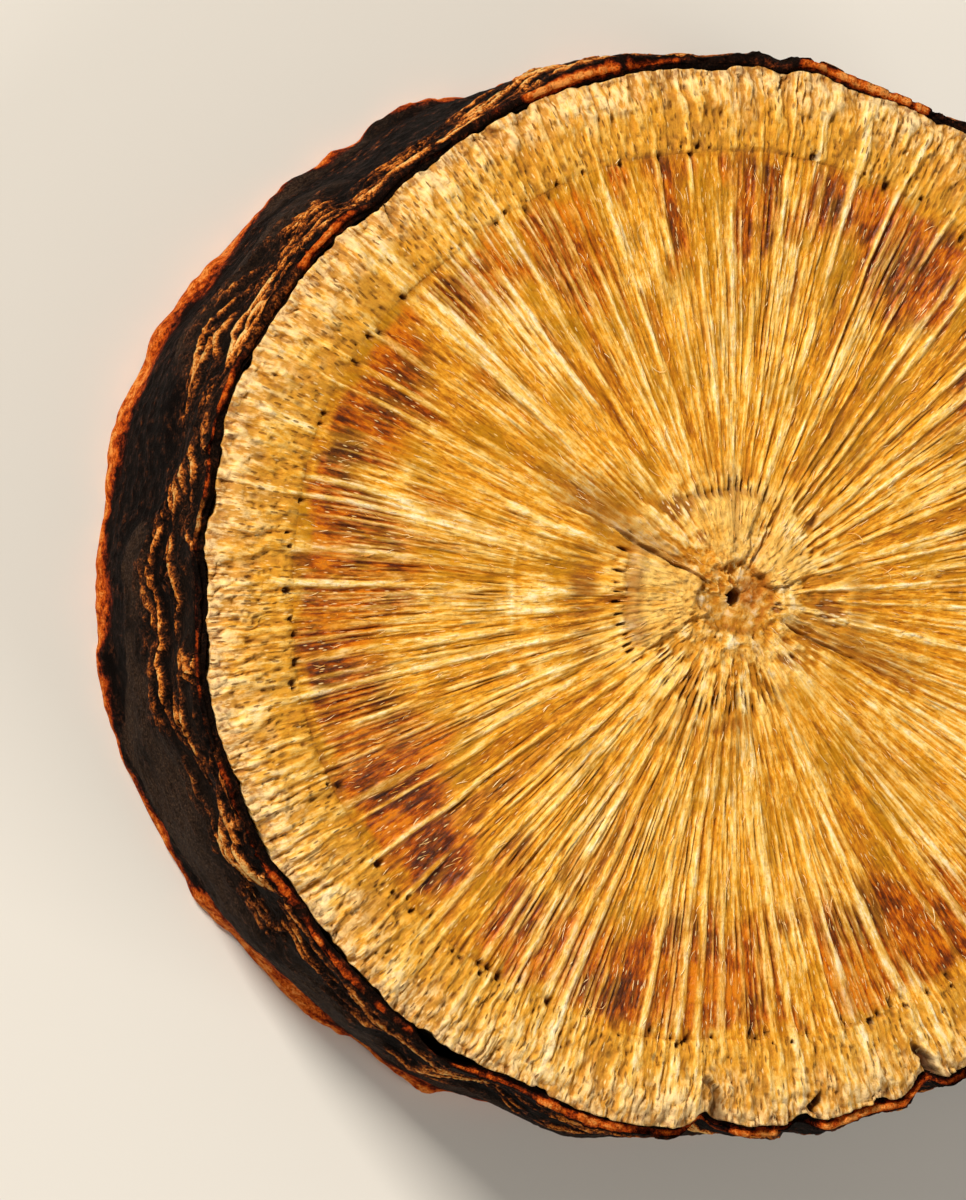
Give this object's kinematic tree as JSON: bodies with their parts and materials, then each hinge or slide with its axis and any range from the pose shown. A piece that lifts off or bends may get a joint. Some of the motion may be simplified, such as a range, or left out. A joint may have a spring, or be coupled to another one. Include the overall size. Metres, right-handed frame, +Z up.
{
  "type": "licorice root slice",
  "caption": "Round slice cut across a dried licorice root: fibrous yellow wood with rays running out from a small pith, inside a thin dark wrinkled bark.",
  "frame": {"origin": "middle of the slice's outline, at the level of the lower cut face that it lies on", "axes": "+Z up through the slice from the lower cut face to the upper one; +Y is the top of the picture and +X its right"},
  "size_m": [0.0242, 0.023, 0.0061],
  "materials": {
    "cut_wood": "dry fibrous cut wood, amber and slightly waxy between pale rays",
    "bark": "rough matt cork, orange brown where it is broken"
  },
  "bodies": {
    "root": {"root_slice": "cut_wood"}
  },
  "joints": []
}
